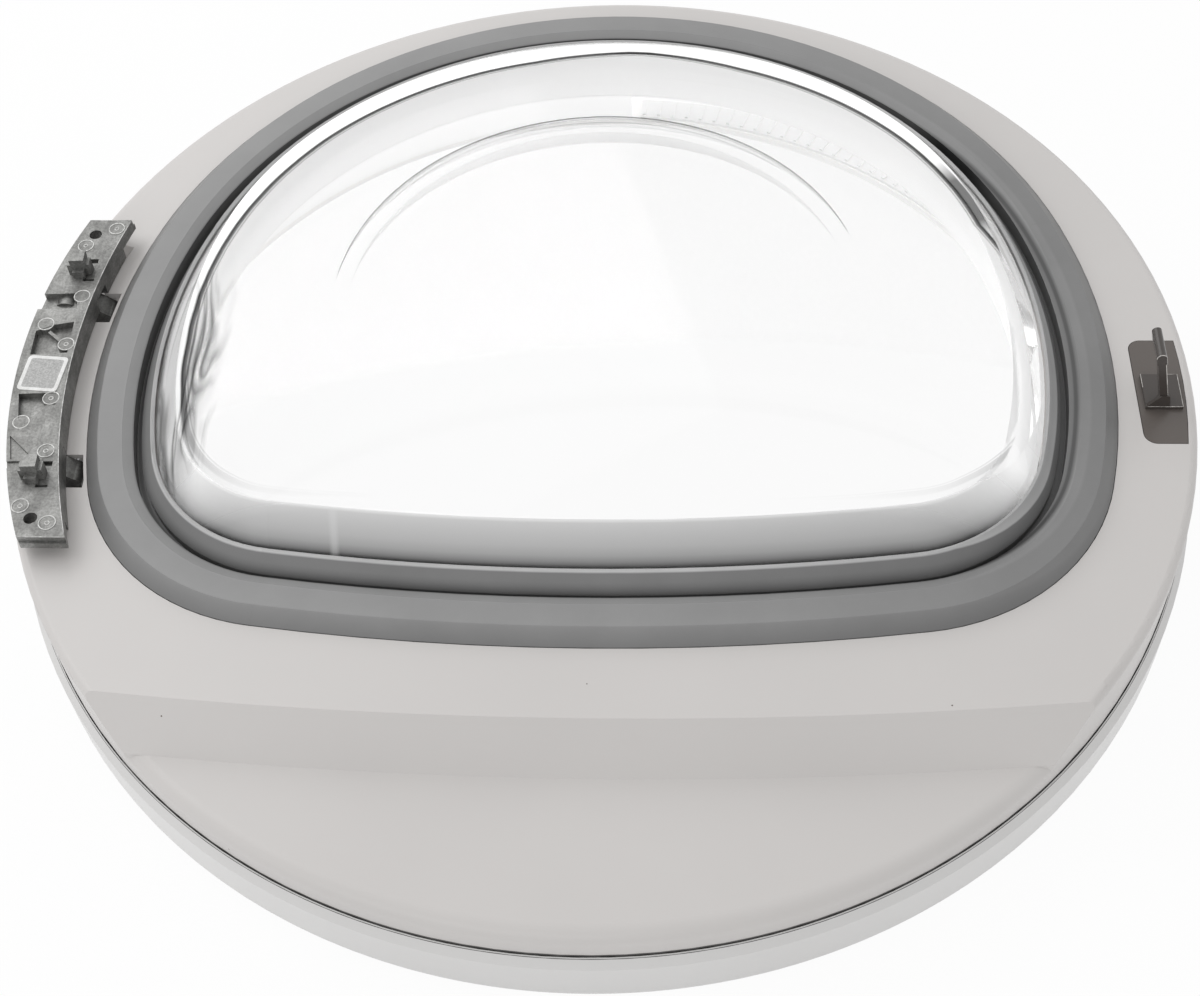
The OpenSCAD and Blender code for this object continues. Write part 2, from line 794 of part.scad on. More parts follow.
module hinge_bracket() {
    color(steel)
        difference() {
            sector(bracket_r0, bracket_r1, bracket_z, boss_z, plate_mid_a - bracket_half,
                plate_mid_a + bracket_half);
            for (a = bracket_angles)
                rotate([0, 0, a])
                    translate([bracket_mid_r, 0, bracket_z - past])
                        cylinder(h = bracket_t + 2 * past, r = bolt_r + screw_gap);
            for (p = arm_screw_points)
                translate([p.x, p.y, bracket_z - past])
                    cylinder(h = bracket_t + 2 * past, r = bolt_r + screw_gap);
        }
}

// A pan-head screw that points up from the bracket's underside
module bolt(l) {
    translate([0, 0, -bolt_head_h])
        cylinder(h = bolt_head_h, r = bolt_head_r);
    cylinder(h = l, r = bolt_r);
}

module bracket_screws() {
    color(steel)
        for (a = bracket_angles)
            rotate([0, 0, a])
                translate([bracket_mid_r, 0, bracket_z])
                    bolt(bracket_t + 4);
}

module arm_screws() {
    color(steel)
        for (p = arm_screw_points)
            translate([p.x, p.y, bracket_z])
                bolt(bracket_t + foot_t);
}

// A swan-neck arm with its bush hole and the two screw holes in its foot
module hinge_arm(i) {
    y0 = arm_y[i] - arm_w / 2;
    color(zinc)
        difference() {
            translate([0, y0 + arm_w, 0])
                rotate([90, 0, 0])
                    linear_extrude(arm_w)
                        arm_side(i);
            translate([-axis_x, y0 - past, axis_z])
                rotate([-90, 0, 0])
                    cylinder(h = arm_w + 2 * past, r = bush_r + thread_gap);
            for (d = foot_screws)
                translate([d - foot_outer_x[i], arm_y[i], boss_z - past])
                    cylinder(h = foot_t + 2 * past, r = bolt_r + thread_gap);
        }
}

// An arm's side view: eye, sloping neck, knee, upright and foot
module arm_side(i) {
    eye = [-axis_x, axis_z];
    knee = [-knee_x[i], frame_z - knee_drop];
    run = knee - eye;
    translate(eye)
        circle(eye_r);
    translate(eye)
        rotate(atan2(run.y, run.x))
            translate([0, -arm_t / 2])
                square([norm(run), arm_t]);
    translate(knee)
        circle(knee_r);
    translate([knee.x - arm_t / 2, boss_z])
        square([arm_t, knee.y - boss_z]);
    translate([-foot_outer_x[i], boss_z])
        square([foot_outer_x[i] - knee_x[i], foot_t]);
}

module hinge_bush(i) {
    color([0.9, 0.88, 0.82])
        translate([-axis_x, arm_y[i] - arm_w / 2, axis_z])
            rotate([-90, 0, 0])
                difference() {
                    cylinder(h = arm_w, r = bush_r);
                    translate([0, 0, -past])
                        cylinder(h = arm_w + 2 * past, r = pin_r + pin_fit);
                }
}

module hinge_pin(i) {
    color(steel)
        translate([-axis_x, arm_y[i] - pin_l / 2, axis_z])
            rotate([-90, 0, 0])
                cylinder(h = pin_l, r = pin_r);
}

// The die-cast hinge plate: a slab with a deep inner wall, knuckles, pockets and hooks
module hinge_plate() {
    color(zinc)
        difference() {
            union() {
                difference() {
                    plate_slab();
                    plate_pockets();
                }
                plate_bosses();
                for (i = [0, 1])
                    plate_knuckle(i);
                for (s = [-1, 1])
                    on_plate(hook_in, s * hook_pitch / 2)
                        translate([0, 0, plate_z1])
                            plate_hook();
            }
            for (i = [0, 1])
                arm_slot(i);
            for (s = [-1, 1])
                rotate([0, 0, plate_mid_a + s * hole_half_a])
                    translate([hole_ring_r, 0, plate_z0 - past])
                        cylinder(h = plate_rise + 2 * past, r = hole_r);
        }
}

// Places on the plate: out from its inner edge, and along it from the upper to the lower end
module on_plate(out, along) {
    rotate([0, 0, plate_mid_a])
        translate([plate_r + out, along, 0])
            children();
}

// The slab with a thinner ledge round its ends, and the wall down to the upper panel
module plate_slab() {
    difference() {
        union() {
            plate_strip(0, slab_z, plate_z1);
            plate_strip(ledge_w, slab_z, slab_z + slab_t / 2);
            intersection() {
                plate_strip(-wall_end, plate_z0, slab_z + eps);
                plate_inner(plate_wall, plate_z0 - past);
            }
        }
        plate_inner(0, plate_z0 - 2 * past);
    }
}

// A strip of the ring that ends level, longer at both ends by grow
module plate_strip(grow, z0, z1) {
    intersection() {
        sector(plate_r - past, plate_r + plate_w, z0, z1, 180 - wide_a, 180 + wide_a);
        translate([-ring_r, hinge_y - plate_l / 2 - grow, z0 - past])
            cube([ring_r, plate_l + 2 * grow, z1 - z0 + 2 * past]);
    }
}

// The space inside the plate's inner edge, moved out by g
module plate_inner(g, z0) {
    on_plate(-plate_in_r, 0)
        translate([0, 0, z0])
            cylinder(h = plate_z1 - z0 + past, r = plate_in_r + g, $fn = 4 * $fn);
}

// Open pockets in the mounting face; points are places on the plate
module plate_pockets() {
    plate_pocket(pocket_z, [[4, -42.8], [plate_w + past, -42.8], [plate_w + past, -34], [2.6, -34]]);
    plate_pocket(pocket_z, [[wall_in, -26], [10.5, -24.7], [18, -21.4], [18, -8], [wall_in, -8.5]]);
    plate_pocket(pocket_z, [[18.7, 13.7], [wall_in, 13.7], [wall_in, 20], [6.5, 20.4],
        [11, 28.5], [16.4, 27]]);
    plate_pocket(plate_z1 - step_depth, [[18, 36], [6.5, 48], [15.5, 48.5]]);
    plate_pocket(plate_z1 - step_depth, [[11, 49.4], [plate_w + past, 49.4],
        [plate_w + past, 53], [11, 53]]);
    for (s = [-1, 1])
        on_plate(hook_in - 4, s * hook_pitch / 2) {
            translate([-2.5, -6.6, plate_z1 - step_depth])
                cube([5, 13.2, past]);
            for (t = [-1, 1])
                translate([-2.5, t * 5.7 - 0.9, plate_z1 - 2])
                    cube([5, 1.8, past]);
        }
}

module plate_pocket(z, points) {
    on_plate(0, 0)
        translate([0, 0, z])
            linear_extrude(plate_z1 - z + past)
                polygon(points);
}

// Round ejector pads that stand in the pockets, and the slanting ribs between them
module plate_bosses() {
    for (p = [[1.6, -41.1], [14.4, -25.3], [3.9, -13.5], [4.8, 16.4], [14.9, 28.8]])
        on_plate(p.x, p.y)
            translate([0, 0, pocket_z - eps])
                cylinder(h = pocket_depth + eps - 0.2, r = pad_r);
    on_plate(12.4, -21.2)
        rotate([0, 0, 137])
            translate([0, -0.7, pocket_z - eps])
                cube([8, 1.4, pocket_depth]);
}

// Two round ears that hold a pin, with a web to the plate's inner wall
module plate_knuckle(i) {
    for (s = [-1, 1]) {
        y0 = arm_y[i] + s * (slot_w + knuckle_w) / 2 - knuckle_w / 2;
        translate([-axis_x, y0, axis_z])
            rotate([-90, 0, 0])
                cylinder(h = knuckle_w, r = knuckle_r);
        translate([-axis_x, y0, plate_z0])
            cube([axis_x - plate_r - wall_in, knuckle_w, slab_z - plate_z0 + eps]);
    }
}

// A hook that catches in the machine's panel: a post, a cross bar and a cap
module plate_hook() {
    translate([-2.5, -4.8, -eps])
        cube([5, 9.6, 3.5 + eps]);
    translate([-4.8, -2.3, -eps])
        cube([9.6, 4.6, 5.5 + eps]);
    translate([-3.2, -3.6, 5])
        cube([6.4, 6.2, 3.5]);
}

// Room from below for an arm's eye and neck, and the pin's hole
module arm_slot(i) {
    translate([-axis_x - eye_r - 3.5, arm_y[i] - slot_w / 2, plate_z0 - past])
        cube([2 * eye_r + 5, slot_w, axis_z + eye_r + clear - plate_z0 + past]);
    translate([-axis_x, arm_y[i] - slot_w / 2, plate_z0 - past])
        cube([axis_x - plate_r + past, slot_w, slab_z - plate_z0 + past]);
    translate([-axis_x, arm_y[i] - pin_l / 2, axis_z])
        rotate([-90, 0, 0])
            cylinder(h = pin_l, r = pin_r + press_gap);
}

module hinge_label() {
    color([0.93, 0.93, 0.91])
        on_plate(10.6, 2.9)
            rotate([0, 0, -7])
                translate([-label_w / 2, -label_l / 2, plate_z1])
                    cube([label_w, label_l, label_t]);
}

// Outline of the latch plate, grown by g, from z0 to z1
module latch_outline(g, z0, z1) {
    r = latch_corner;
    h = z1 - z0;
    y0 = latch_y - latch_l / 2;
    intersection() {
        translate([0, 0, z0]) {
            translate([latch_x + r, y0 - g, 0])
                cube([latch_w, latch_l + 2 * g, h]);
            translate([latch_x - g, y0 + r, 0])
                cube([latch_w, latch_l - 2 * r, h]);
            for (y = [y0 + r, y0 + latch_l - r])
                translate([latch_x + r, y, 0])
                    cylinder(h = h, r = r + g);
        }
        translate([0, 0, z0])
            cylinder(h = h, r = latch_x + latch_w + g);
    }
}

module latch_base() {
    color(taupe)
        difference() {
            latch_outline(0, latch_z, frame_z);
            for (y = hook_pegs)
                translate([hook_x, y, latch_z - past])
                    cylinder(h = latch_t + 2 * past, r = peg_r + screw_gap);
        }
}

// The hook: a foot with two pegs, a leaning stem and a head with a round back
module latch_hook() {
    color(taupe)
        difference() {
            union() {
                translate([hook_x - hook_foot_w / 2, hook_foot_y, frame_z])
                    cube([hook_foot_w, hook_foot_l, hook_foot_t]);
                for (y = hook_pegs)
                    translate([hook_x, y, latch_pad_z])
                        cylinder(h = frame_z - latch_pad_z + eps, r = peg_r);
                translate([hook_x, hook_foot_y, frame_z + hook_foot_t - eps])
                    rotate([0, -hook_lean, 0])
                        hook_blade();
                hook_gusset();
            }
            for (y = hook_pegs)
                translate([hook_x, y, latch_pad_z - past])
                    cylinder(h = past + 5, r = screw_r + thread_gap);
        }
}

module hook_blade() {
    top = hook_h - hook_foot_t;
    head = hook_head_h - hook_t / 2;
    translate([-stem_t / 2, 0.6, 0])
        cube([stem_t, stem_l, top - head]);
    translate([-hook_t / 2, 0, top - hook_head_h])
        cube([hook_t, hook_l, head]);
    translate([0, 0, top - hook_t / 2])
        rotate([-90, 0, 0])
            cylinder(h = hook_l, r = hook_t / 2);
}

// The triangular root that spreads the hook's stem over its foot
module hook_gusset() {
    translate([hook_x, hook_foot_y + 1.6, frame_z + hook_foot_t - 0.1])
        rotate([90, 0, 0])
            linear_extrude(1.6)
                polygon([[-7.3, 0], [2.2, 0], [0.8, root_h], [-2.4, root_h]]);
}

module latch_stiffener() {
    color(steel)
        difference() {
            translate([hook_x - hook_foot_w / 2, hook_foot_y, latch_pad_z - stiffener_t])
                cube([hook_foot_w, hook_foot_l, stiffener_t]);
            for (y = hook_pegs)
                translate([hook_x, y, latch_pad_z - stiffener_t - past])
                    cylinder(h = stiffener_t + 2 * past, r = screw_r + screw_gap);
        }
}

module latch_screws() {
    color(steel)
        for (y = hook_pegs)
            translate([hook_x, y, latch_pad_z - stiffener_t]) {
                translate([0, 0, -head_h])
                    cylinder(h = head_h, r = peg_r);
                cylinder(h = stiffener_t + 4, r = screw_r);
            }
}

outer_ring();
handle_grip();
window_surround();
surround_screws();
window_bowl();
bowl_gasket();
inner_frame();
door_seal();
hinge_bracket();
bracket_screws();
arm_screws();
hinge_arm(0);  // hinge_arm_upper
hinge_arm(1);  // hinge_arm_lower
hinge_bush(0);  // hinge_bush_upper
hinge_bush(1);  // hinge_bush_lower
hinge_pin(0);  // hinge_pin_upper
hinge_pin(1);  // hinge_pin_lower
hinge_plate();
hinge_label();
latch_base();
latch_hook();
latch_stiffener();
latch_screws();
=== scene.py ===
import math

import bmesh
import bpy
from mathutils import Matrix, Vector


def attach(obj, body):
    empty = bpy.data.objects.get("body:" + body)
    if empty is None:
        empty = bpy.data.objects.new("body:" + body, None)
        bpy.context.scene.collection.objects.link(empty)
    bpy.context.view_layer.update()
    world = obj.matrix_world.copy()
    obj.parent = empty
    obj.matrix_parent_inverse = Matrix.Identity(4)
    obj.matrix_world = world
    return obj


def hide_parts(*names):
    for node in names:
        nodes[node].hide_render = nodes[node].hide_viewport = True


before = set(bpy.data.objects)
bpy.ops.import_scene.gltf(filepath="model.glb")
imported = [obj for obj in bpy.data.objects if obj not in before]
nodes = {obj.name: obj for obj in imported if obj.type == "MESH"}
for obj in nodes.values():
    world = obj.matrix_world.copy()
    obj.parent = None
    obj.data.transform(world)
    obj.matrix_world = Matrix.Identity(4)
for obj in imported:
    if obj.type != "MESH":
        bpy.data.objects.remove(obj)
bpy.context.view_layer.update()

# Camera, floor and light

CAM_AT = (0.0419, -0.5091, 0.6426)
CAM_BACK = Vector((0.0529, -0.6044, 0.7949)).normalized()
CAM_ROLL = math.radians(-3.66)


def make_camera():
    side = Vector((0.9962, 0.0872, 0.0))
    side = (side - side.dot(CAM_BACK) * CAM_BACK).normalized()
    upward = CAM_BACK.cross(side)
    right = math.cos(CAM_ROLL) * side + math.sin(CAM_ROLL) * upward
    up = -math.sin(CAM_ROLL) * side + math.cos(CAM_ROLL) * upward
    data = bpy.data.cameras.new("camera")
    data.lens = 55.35
    data.sensor_width = 36
    data.sensor_fit = "HORIZONTAL"
    data.clip_end = 20
    cam = bpy.data.objects.new("camera", data)
    turn = Matrix((right, up, CAM_BACK)).transposed().to_4x4()
    cam.matrix_world = Matrix.Translation(CAM_AT) @ turn
    bpy.context.scene.collection.objects.link(cam)
    bpy.context.scene.camera = cam


def srgb(r, g, b, a=1.0):
    def lin(c):
        c /= 255
        return c / 12.92 if c <= 0.04045 else ((c + 0.055) / 1.055) ** 2.4
    return (lin(r), lin(g), lin(b), a)


# The window outline's arcs: centre and radius in millimetres, and the angles where they meet

TOP_ARC = ((0, 21), 211)
SIDE_ARC = ((-49.455, 4.931), 263)
CORNER_ARC = ((116.31, -37.05), 92)
LOW_ARC = ((0, 810), 947)
SIDE_A, CORNER_A, LOW_A = 18, -14.21, -82.18


class Mat:
    """A small builder for a node material with one Principled shader."""

    def __init__(self, name, color, rough=0.5, metal=0.0):
        self.mat = bpy.data.materials.new(name)
        self.mat.use_nodes = True
        self.mat.cycles.emission_sampling = "NONE"  # a faint glow is no lamp, and renders sooner
        self.tree = self.mat.node_tree
        self.bsdf = self.tree.nodes["Principled BSDF"]
        self.set("Base Color", color)
        self.set("Roughness", rough)
        self.set("Metallic", metal)
        self.at = self.new("ShaderNodeTexCoord").outputs["Object"]

    def new(self, kind, **values):
        node = self.tree.nodes.new(kind)
        for key, value in values.items():
            setattr(node, key, value)
        return node

    def set(self, socket, value):
        self.bsdf.inputs[socket].default_value = value

    def link(self, a, b):
        self.tree.links.new(a, b)

    def noise(self, scale, detail=3.0, rough=0.5, stretch=None):
        where = self.at
        if stretch:
            mapping = self.new("ShaderNodeMapping")
            mapping.inputs["Scale"].default_value = stretch
            self.link(where, mapping.inputs["Vector"])
            where = mapping.outputs["Vector"]
        node = self.new("ShaderNodeTexNoise")
        node.inputs["Scale"].default_value = scale
        node.inputs["Detail"].default_value = detail
        node.inputs["Roughness"].default_value = rough
        self.link(where, node.inputs["Vector"])
        return node.outputs["Fac"]

    def ramp(self, value, stops):
        node = self.new("ShaderNodeValToRGB")
        ramp = node.color_ramp
        while len(ramp.elements) < len(stops):
            ramp.elements.new(0.5)
        for element, (pos, color) in zip(ramp.elements, stops):
            element.position = pos
            element.color = color if len(color) == 4 else (*color, 1)
        self.link(value, node.inputs["Fac"])
        return node.outputs["Color"]

    def map(self, value, low, high, a=0.0, b=1.0):
        node = self.new("ShaderNodeMapRange")
        node.inputs["From Min"].default_value = a
        node.inputs["From Max"].default_value = b
        node.inputs["To Min"].default_value = low
        node.inputs["To Max"].default_value = high
        self.link(value, node.inputs["Value"])
        return node.outputs["Result"]

    def mix(self, a, b, fac, mode="MIX"):
        node = self.new("ShaderNodeMix", data_type="RGBA", blend_type=mode)
        for socket, value in (("Factor", fac), ("A", a), ("B", b)):
            target = [i for i in node.inputs if i.name == socket and i.type in ("RGBA", "VALUE")
                      and (socket == "Factor" or i.type == "RGBA")][0]
            if isinstance(value, (int, float, tuple)):
                target.default_value = value
            else:
                self.link(value, target)
        return [o for o in node.outputs if o.type == "RGBA"][0]

    def bump(self, height, strength=0.2, distance=0.0002, below=None):
        node = self.new("ShaderNodeBump")
        node.inputs["Strength"].default_value = strength
        node.inputs["Distance"].default_value = distance
        self.link(height, node.inputs["Height"])
        if below is not None:
            self.link(below, node.inputs["Normal"])
        self.link(node.outputs["Normal"], self.bsdf.inputs["Normal"])
        return node.outputs["Normal"]


    def axis(self, coord, name):
        node = self.new("ShaderNodeSeparateXYZ")
        self.link(coord, node.inputs[0])
        return node.outputs[name]

    def calc(self, kind, a, b=0.0):
        node = self.new("ShaderNodeMath", operation=kind)
        for socket, value in zip(node.inputs, (a, b)):
            if isinstance(value, (int, float)):
                socket.default_value = value
            else:
                self.link(value, socket)
        return node.outputs[0]

    def grey(self, value):
        node = self.new("ShaderNodeCombineColor")
        for socket in node.inputs[:3]:
            self.link(value, socket)
        return node.outputs[0]

    def near(self, place):
        """Distance to a point of the object, in metres."""
        node = self.new("ShaderNodeVectorMath", operation="DISTANCE")
        self.link(self.at, node.inputs[0])
        node.inputs[1].default_value = place
        return node.outputs["Value"]

    def plane_side(self, x, y, angle, at):
        """How far a point lies to the left of a ray from at, in millimetres."""
        turn = math.radians(angle)
        dx = self.calc("MULTIPLY", self.calc("SUBTRACT", x, at[0]), -math.sin(turn))
        return self.calc("ADD", dx, self.calc("MULTIPLY", self.calc("SUBTRACT", y, at[1]),
                                              math.cos(turn)))

    def choose(self, other, value, test):
        """other where test is above zero, else value."""
        gap = self.calc("SUBTRACT", other, value)
        return self.calc("ADD", value, self.calc("MULTIPLY", gap, self.calc("GREATER_THAN", test, 0)))

    def outline_offset(self):
        """Distance inwards from the seal's outer outline, in millimetres."""
        x = self.calc("MULTIPLY", self.calc("ABSOLUTE", self.axis(self.at, "X")), 1000)
        y = self.calc("MULTIPLY", self.axis(self.at, "Y"), 1000)
        place = self.new("ShaderNodeCombineXYZ")
        self.link(x, place.inputs[0])
        self.link(y, place.inputs[1])

        def inside(centre, radius):
            node = self.new("ShaderNodeVectorMath", operation="DISTANCE")
            self.link(place.outputs[0], node.inputs[0])
            node.inputs[1].default_value = (*centre, 0)
            return self.calc("SUBTRACT", radius, node.outputs["Value"])

        offset = self.calc("MINIMUM", inside(*SIDE_ARC), inside(*LOW_ARC))
        in_corner = self.calc("MINIMUM", self.plane_side(x, y, LOW_A, CORNER_ARC[0]),
                              self.calc("MULTIPLY", self.plane_side(x, y, CORNER_A, CORNER_ARC[0]), -1))
        offset = self.choose(inside(*CORNER_ARC), offset, in_corner)
        return self.choose(inside(*TOP_ARC), offset, self.plane_side(x, y, SIDE_A, TOP_ARC[0]))

    def specks(self, base, dark, size=0.00035, cells=38, share=0.12):
        """A few dust specks of one size, scattered over the surface."""
        cell = self.new("ShaderNodeTexVoronoi")
        cell.inputs["Scale"].default_value = cells
        self.link(self.at, cell.inputs["Vector"])
        spot = self.calc("LESS_THAN", cell.outputs["Distance"], size * cells)
        pick = self.calc("LESS_THAN", self.axis(cell.outputs["Color"], "X"), share)
        return self.mix(base, dark, self.calc("MULTIPLY", spot, pick))


def shade(color, k):
    return tuple(min(1, c * k) for c in color[:3]) + (1.0,)


def plastic(name, color, rough, drift=0.02, dust=None, uneven=0.04):
    m = Mat(name, color, rough)
    broad = m.ramp(m.noise(9, 4), [(0.3, shade(color, 1 - drift)), (0.7, shade(color, 1 + drift))])
    if dust:
        broad = m.specks(broad, dust)
    m.link(broad, m.bsdf.inputs["Base Color"])
    m.link(m.map(m.noise(40, 3), rough - uneven, rough + uneven), m.bsdf.inputs["Roughness"])
    m.bump(m.noise(1800, 2), 0.15, 0.00003)
    return m


def grey_ramp(m, value, low, high, stops):
    """Greys set along a range of value; stops are places in that range with sRGB levels."""
    span = high - low
    return m.ramp(m.map(value, 0, 1, low, high),
                  [((at - low) / span, srgb(g, g, g)) for at, g in stops])


def glass():
    """Clear moulded bowl: a see-through face with painted dark lines and ripples standing in for refraction, a rim
    and inner wall painted bright with a painted glow, and a near wall made opaque and painted with shade that
    darkens downwards.
    """
    m = Mat("clear_bowl", (1, 1, 1, 1), 0.02)
    m.set("IOR", 1.49)
    offset = m.outline_offset()
    level = m.calc("MULTIPLY", m.axis(m.at, "Z"), 1000)
    normal = m.new("ShaderNodeTexCoord").outputs["Normal"]
    upright = m.map(m.calc("ABSOLUTE", m.axis(normal, "Z")), 1, 0, 0.62, 0.85)
    near = m.map(m.axis(m.at, "Y"), 1, 0, -0.09, -0.062)
    far = m.map(m.axis(m.at, "Y"), 0, 1, -0.085, -0.03)
    wobble = m.calc("MULTIPLY", m.map(m.noise(14, 3), -2.2, 2.2), m.map(m.axis(m.at, "Y"), 1, 0.25, 0, 0.12))
    x, y = m.axis(m.at, "X"), m.axis(m.at, "Y")
    right = m.calc("MULTIPLY", m.map(y, 12, 0, 0.02, 0.062), m.map(x, 0, 1, 0.12, 0.16))
    shift = m.calc("ADD", m.map(m.near((0.013, 0.19, 0.073)), 5.2, 2.3, 0.005, 0.05), right)
    edge_at = m.calc("ADD", m.calc("ADD", offset, wobble), m.calc("MULTIPLY", shift, far))
    slope = m.calc("SUBTRACT", m.calc("ADD", m.calc("MULTIPLY", x, 8.5), 87.36), m.calc("MULTIPLY", y, 74.9))
    under = m.calc("SUBTRACT", level, m.calc("MINIMUM", slope, 84.2))
    on_top = m.map(under, 0, 1, -1.5, -0.8)
    below = m.calc("MULTIPLY", m.calc("MULTIPLY", far, m.map(upright, 1, 0)),
                   m.calc("MULTIPLY", m.map(level, 0, 1, 62, 64), m.map(under, 1, 0, -3.5, -2.5)))
    # painted shade: a dark wedge on the face near the right wall
    painted_dark_wedge = m.calc("MULTIPLY", m.map(m.near((0.157, 0.079, 0.083)), 1, 0, 0.014, 0.03),
                   m.calc("MULTIPLY", m.map(edge_at, 0, 1, 42.6, 43.4), on_top))
    bevel = m.calc("SUBTRACT", m.calc("SUBTRACT", level, 68),
                   m.calc("MULTIPLY", m.calc("SUBTRACT", offset, 30.5), 1.391))
    inner = m.calc("MULTIPLY", m.calc("MULTIPLY", upright, m.map(bevel, 1, 0, -6, -3)),
                   m.calc("MULTIPLY", m.map(offset, 0, 1, 32.5, 34), m.map(offset, 1, 0, 50, 52)))
    rim = m.calc("MULTIPLY", m.calc("MULTIPLY", m.map(offset, 0, 1, 34.2, 35.6),
                                    m.map(edge_at, 1, 0, 46.2, 46.9)), m.calc("MULTIPLY", far, on_top))
    # The near wall is made opaque and painted with shade: darkest at its foot by the groove, lighter upwards to its
    # top edge.
    opaque_near_wall = m.calc("MULTIPLY", upright, near)
    wall = grey_ramp(m, level, 56, 85, [(56, 40), (68, 52), (69, 84), (70.4, 132), (72.4, 166), (75.4, 184),
                                        (80, 197), (83, 207), (84.2, 242)])
    # painted highlight: the rim band and the inner wall are painted near white
    painted_bright_band = m.calc("MAXIMUM", inner, rim)
    # painted wavy dark lines on the left wall, standing in for refraction in its thick glass
    painted_refraction_ripples = m.ramp(m.noise(16, 2, 0.4, (3.4, 0.55, 1.2)), [
        (0.40, srgb(255, 255, 255)), (0.435, srgb(150, 150, 150)), (0.46, srgb(255, 255, 255)),
        (0.52, srgb(232, 232, 232)), (0.535, srgb(130, 130, 130)), (0.56, srgb(250, 250, 250)),
        (0.6, srgb(190, 190, 190)), (0.62, srgb(255, 255, 255))])
    left = m.calc("MULTIPLY", m.map(x, 1, 0, -0.162, -0.152),
                  m.calc("MULTIPLY", m.map(y, 0, 1, -0.085, -0.06), m.map(y, 1, 0, 0.0, 0.05)))
    painted_refraction_ripples = m.mix((1, 1, 1, 1), painted_refraction_ripples, left)
    tone = m.mix(m.mix((1, 1, 1, 1), srgb(247, 247, 247), painted_bright_band), painted_refraction_ripples, 1.0, "MULTIPLY")
    tone = m.mix(tone, srgb(110, 110, 110), painted_dark_wedge)
    stripe = m.map(m.calc("ABSOLUTE", m.calc("ADD", x, 0.0975)), 0.28, 0, 0.0006, 0.0022)
    wall = m.mix(wall, srgb(226, 226, 226), stripe)
    m.link(m.mix(tone, wall, opaque_near_wall), m.bsdf.inputs["Base Color"])
    solid = m.calc("MAXIMUM", m.calc("MULTIPLY", opaque_near_wall, 0.9), m.calc("MULTIPLY", painted_bright_band, 0.88))
    m.link(m.map(solid, 1.0, 0.0), m.bsdf.inputs["Transmission Weight"])
    # painted glow on the bright band, though the bowl is no lamp
    m.set("Emission Color", (1, 1, 1, 1))
    m.link(m.calc("MULTIPLY", m.map(painted_bright_band, 0.0, 0.24), m.map(m.calc("MAXIMUM", left, painted_dark_wedge), 1, 0)),
           m.bsdf.inputs["Emission Strength"])
    m.link(m.map(opaque_near_wall, 0.02, 0.3), m.bsdf.inputs["Roughness"])
    rays = m.new("ShaderNodeLightPath")
    lamp = m.calc("MAXIMUM", rays.outputs["Is Shadow Ray"], rays.outputs["Is Diffuse Ray"])
    start = m.map(far, 42.5, 46.3)
    face = m.calc("MULTIPLY", m.map(m.calc("SUBTRACT", edge_at, start), 0, 0.97, 0, 0.8),
                  m.map(inner, 1, 0))
    face = m.calc("MAXIMUM", face, m.calc("MULTIPLY", below, 0.97))
    through = m.new("ShaderNodeBsdfTransparent")
    step = m.calc("MULTIPLY", m.map(offset, 0, 1, 52, 56), m.map(upright, 0, 1, 0.3, 0.9))
    # painted light and dark lines where the face steps, standing in for refraction at its edges
    painted_step_lines = grey_ramp(m, level, 74, 84.2, [(74, 236), (80, 246), (80.3, 205), (80.7, 250), (82.2, 240),
                                           (82.5, 195), (82.8, 245), (83.3, 215), (83.7, 120), (84.1, 70)])
    # painted dark line where the rim's edge shows through the face
    line = grey_ramp(m, edge_at, 45.5, 51, [(45.6, 200), (46.4, 50), (47.4, 70), (48.6, 150), (49.0, 240),
                                            (49.6, 190), (50.1, 252), (50.9, 254)])
    top = m.calc("MULTIPLY", far, on_top)
    clear = m.mix(m.mix((0.985, 0.985, 0.985, 1), painted_step_lines, step), line,
                  m.calc("MULTIPLY", top, m.map(edge_at, 1, 0, 50.9, 51)))
    clear = m.mix(clear, painted_refraction_ripples, 1.0, "MULTIPLY")
    m.link(clear, through.inputs["Color"])
    both = m.new("ShaderNodeMixShader")
    m.link(m.calc("MAXIMUM", lamp, face), both.inputs["Fac"])
    m.link(m.bsdf.outputs[0], both.inputs[1])
    m.link(through.outputs[0], both.inputs[2])
    m.link(both.outputs[0], m.tree.nodes["Material Output"].inputs["Surface"])
    return m


def rubber():
    """The moulded seal with shade painted in bands: a lighter top, darker slopes, a painted dark shadow in the
    groove and a lip darker as painted shade, lighter on the left and darker on the right as painted side light,
    with dusty streaks.
    """
    m = Mat("seal_rubber", srgb(120, 120, 120), 0.42)
    # The bands are painted shade: the slopes and lip darker, the groove a painted shadow; they shift outwards
    # towards the right, widening the dark groove.
    wider = m.map(m.axis(m.at, "X"), 0, 4.2, 0.14, 0.2)
    tone = grey_ramp(m, m.calc("ADD", m.outline_offset(), wider), -2, 34, [
        (-1, 104), (0.6, 114), (3, 122), (5.4, 130), (6.6, 137), (15.4, 135), (16.6, 143), (19.6, 140), (20.5, 104),
        (21.2, 56), (22.0, 56), (22.6, 104), (26, 126), (28.1, 124), (28.5, 196), (30.2, 180)])
    # painted side light: lighter on the left, darker on the right
    painted_side_light = m.map(m.axis(m.at, "X"), 1.04, 0.82, 0.07, 0.2)
    tone = m.mix(tone, m.grey(painted_side_light), 1.0, "MULTIPLY")
    dust = m.ramp(m.noise(25, 6, 0.6), [(0.3, (0.93, 0.93, 0.93)), (0.75, (1.07, 1.07, 1.07))])
    m.link(m.mix(tone, dust, 1.0, "MULTIPLY"), m.bsdf.inputs["Base Color"])
    m.link(m.map(m.noise(60, 4), 0.38, 0.5), m.bsdf.inputs["Roughness"])
    m.bump(m.noise(900, 4), 0.25, 0.00005)
    return m


